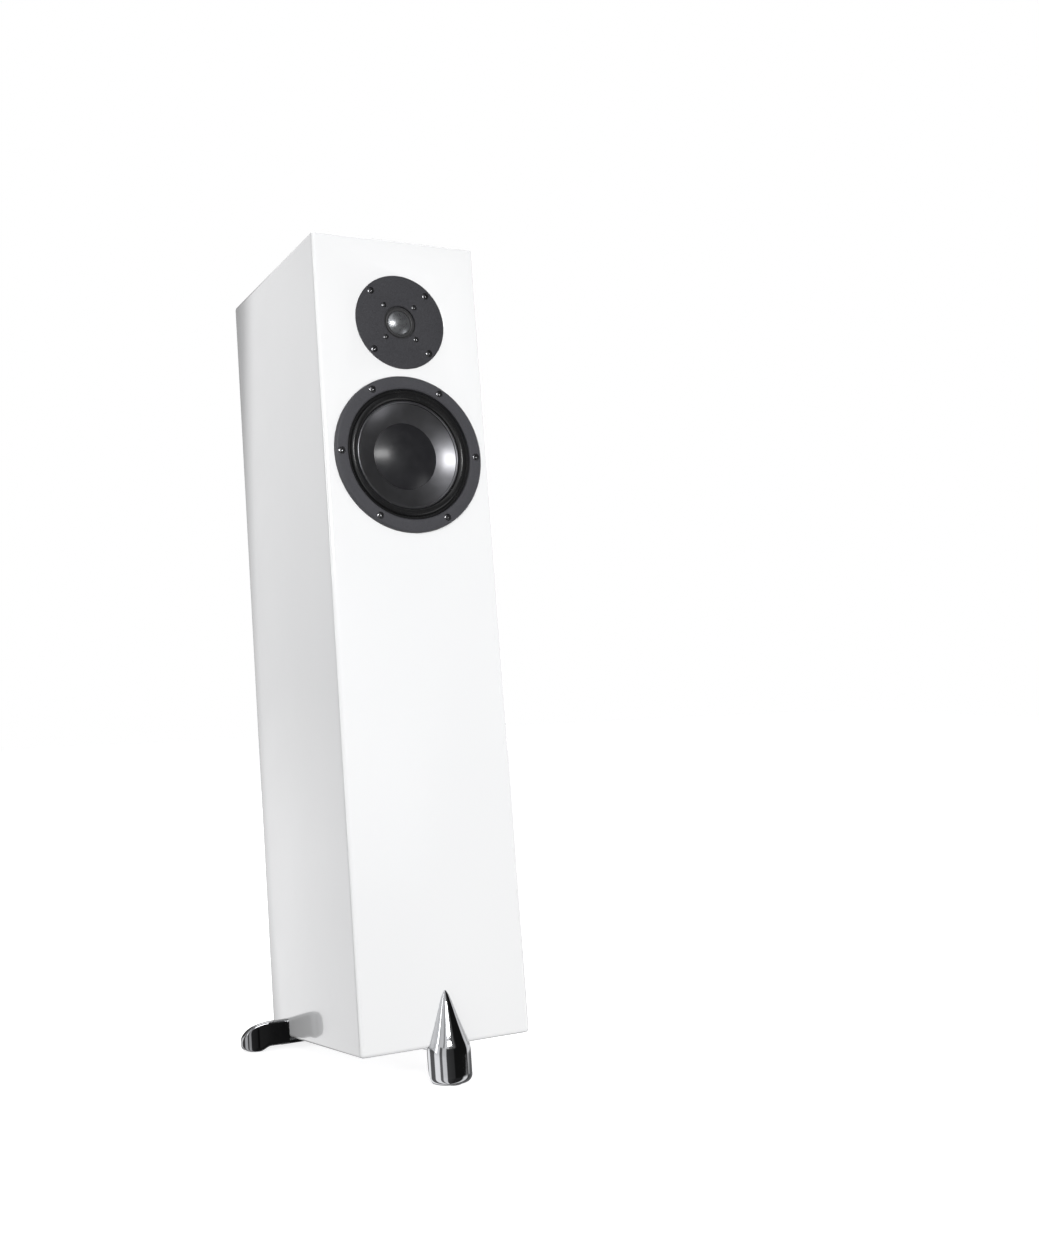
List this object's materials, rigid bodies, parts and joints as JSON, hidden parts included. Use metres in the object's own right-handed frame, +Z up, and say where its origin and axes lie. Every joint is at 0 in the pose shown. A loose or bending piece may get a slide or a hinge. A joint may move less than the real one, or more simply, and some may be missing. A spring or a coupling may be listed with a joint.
{
  "type": "floorstanding speaker",
  "caption": "Slim white floorstanding loudspeaker with dome tweeter, cone woofer, rear port and screw terminals, leaning back on chrome claw feet.",
  "frame": {"origin": "on the floor under the middle of the bounding box", "axes": "+Z up, the front faces -Y, +X to the right of someone who looks at the front"},
  "size_m": [0.295, 0.3874, 0.9039],
  "materials": {
    "lacquer": "gloss white lacquer on board",
    "raw_board": "raw board",
    "felt": "needled felt",
    "port_plastic": "satin",
    "faceplate_black": "matt charcoal coating",
    "screw_steel": "dark plated",
    "motor_steel": "plated",
    "magnet": "matt",
    "gold": "gold plated",
    "dome_metal": "satin",
    "rubber_black": "satin",
    "copper": "enamelled wire",
    "frame_paint": "charcoal powder coat",
    "cone_black": "gloss black",
    "former": "plain",
    "spider_cloth": "resin-dipped cloth",
    "terminal_block": "hard paper board",
    "gasket_foam": "foam",
    "terminal_plastic": "fine grain",
    "knob_red": "clear gloss",
    "knob_black": "gloss",
    "washer_metal": "gold plated",
    "circuit_board": "solder mask",
    "capacitor_film": "film",
    "resistor_ceramic": "matt",
    "fixing_nylon": "plain",
    "lead_black": "insulated lead",
    "lead_grey": "insulated lead",
    "chrome": "mirror polish",
    "pad_rubber": "matt"
  },
  "bodies": {
    "cabinet": {"front_baffle": "lacquer", "rear_panel": "lacquer", "left_side_panel": "lacquer", "right_side_panel": "lacquer", "top_panel": "lacquer", "bottom_panel": "lacquer", "braces": "raw_board", "felt_lining": "felt", "port_tube": "port_plastic", "tweeter_faceplate": "faceplate_black", "tweeter_outer_screws": "screw_steel", "tweeter_inner_screws": "screw_steel", "tweeter_front_plate": "motor_steel", "tweeter_magnet": "magnet", "tweeter_back_plate": "motor_steel", "tweeter_rear_chamber": "port_plastic", "tweeter_tabs": "gold", "tweeter_surround": "rubber_black", "woofer_basket": "frame_paint", "woofer_screws": "screw_steel", "woofer_surround": "rubber_black", "woofer_spider": "spider_cloth", "woofer_magnet": "magnet", "woofer_pole_plate": "motor_steel", "woofer_pot": "motor_steel", "woofer_terminals": "terminal_block", "tinsel_leads": "copper", "driver_gaskets": "gasket_foam", "terminal_plate": "terminal_plastic", "terminal_plate_screws": "screw_steel", "terminal_posts": "gold", "terminal_nuts": "screw_steel", "jumper_straps": "gold", "crossover_board": "circuit_board", "inductors": "copper", "capacitors": "capacitor_film", "resistors": "resistor_ceramic", "board_fixings": "fixing_nylon", "input_leads": "lead_black", "driver_leads": "lead_grey", "front_foot": "chrome", "left_foot": "chrome", "right_foot": "chrome", "foot_fixings": "screw_steel", "foot_pads": "pad_rubber"},
    "woofer_diaphragm": {"woofer_cone": "cone_black", "woofer_dust_cap": "cone_black", "woofer_coil_former": "former", "woofer_coil": "copper"},
    "tweeter_diaphragm": {"tweeter_dome": "dome_metal", "tweeter_coil": "copper"},
    "washer_high_plus": {"washer_high_plus": "washer_metal"},
    "knob_high_plus": {"knob_high_plus": "knob_red"},
    "washer_high_minus": {"washer_high_minus": "washer_metal"},
    "knob_high_minus": {"knob_high_minus": "knob_black"},
    "washer_low_plus": {"washer_low_plus": "washer_metal"},
    "knob_low_plus": {"knob_low_plus": "knob_red"},
    "washer_low_minus": {"washer_low_minus": "washer_metal"},
    "knob_low_minus": {"knob_low_minus": "knob_black"}
  },
  "joints": [
    {"name": "woofer_travel", "type": "slide", "parent": "cabinet", "child": "woofer_diaphragm", "axis": [0, 0.9936, -0.1132], "range_m": [-0.005, 0.005], "stiffness_N_per_m": 1200, "deforming": ["woofer_surround", "woofer_spider", "tinsel_leads"]},
    {"name": "tweeter_travel", "type": "slide", "parent": "cabinet", "child": "tweeter_diaphragm", "axis": [0, 0.9936, -0.1132], "range_m": [-0.0004, 0.0004], "stiffness_N_per_m": 1500, "deforming": ["tweeter_surround"]},
    {"name": "washer_high_plus_lift", "type": "slide", "parent": "cabinet", "child": "washer_high_plus", "axis": [0, 0.9936, -0.1132], "range_m": [0, 0.00317]},
    {"name": "knob_high_plus_turn", "type": "hinge", "parent": "washer_high_plus", "child": "knob_high_plus", "pos_m": [0.0095, 0.12089, 0.16167], "axis": [0, 0.9936, -0.1132], "range_deg": [0, 900]},
    {"name": "washer_high_minus_lift", "type": "slide", "parent": "cabinet", "child": "washer_high_minus", "axis": [0, 0.9936, -0.1132], "range_m": [0, 0.00317]},
    {"name": "knob_high_minus_turn", "type": "hinge", "parent": "washer_high_minus", "child": "knob_high_minus", "pos_m": [-0.0095, 0.12089, 0.16167], "axis": [0, 0.9936, -0.1132], "range_deg": [0, 900]},
    {"name": "washer_low_plus_lift", "type": "slide", "parent": "cabinet", "child": "washer_low_plus", "axis": [0, 0.9936, -0.1132], "range_m": [0, 0.00317]},
    {"name": "knob_low_plus_turn", "type": "hinge", "parent": "washer_low_plus", "child": "knob_low_plus", "pos_m": [0.0095, 0.11591, 0.11795], "axis": [0, 0.9936, -0.1132], "range_deg": [0, 900]},
    {"name": "washer_low_minus_lift", "type": "slide", "parent": "cabinet", "child": "washer_low_minus", "axis": [0, 0.9936, -0.1132], "range_m": [0, 0.00317]},
    {"name": "knob_low_minus_turn", "type": "hinge", "parent": "washer_low_minus", "child": "knob_low_minus", "pos_m": [-0.0095, 0.11591, 0.11795], "axis": [0, 0.9936, -0.1132], "range_deg": [0, 900]}
  ],
  "couplings": [
    {"joint": "washer_high_plus_lift", "follows": "knob_high_plus_turn", "m_per_rad": 0.00019894},
    {"joint": "washer_high_minus_lift", "follows": "knob_high_minus_turn", "m_per_rad": 0.00019894},
    {"joint": "washer_low_plus_lift", "follows": "knob_low_plus_turn", "m_per_rad": 0.00019894},
    {"joint": "washer_low_minus_lift", "follows": "knob_low_minus_turn", "m_per_rad": 0.00019894}
  ]
}
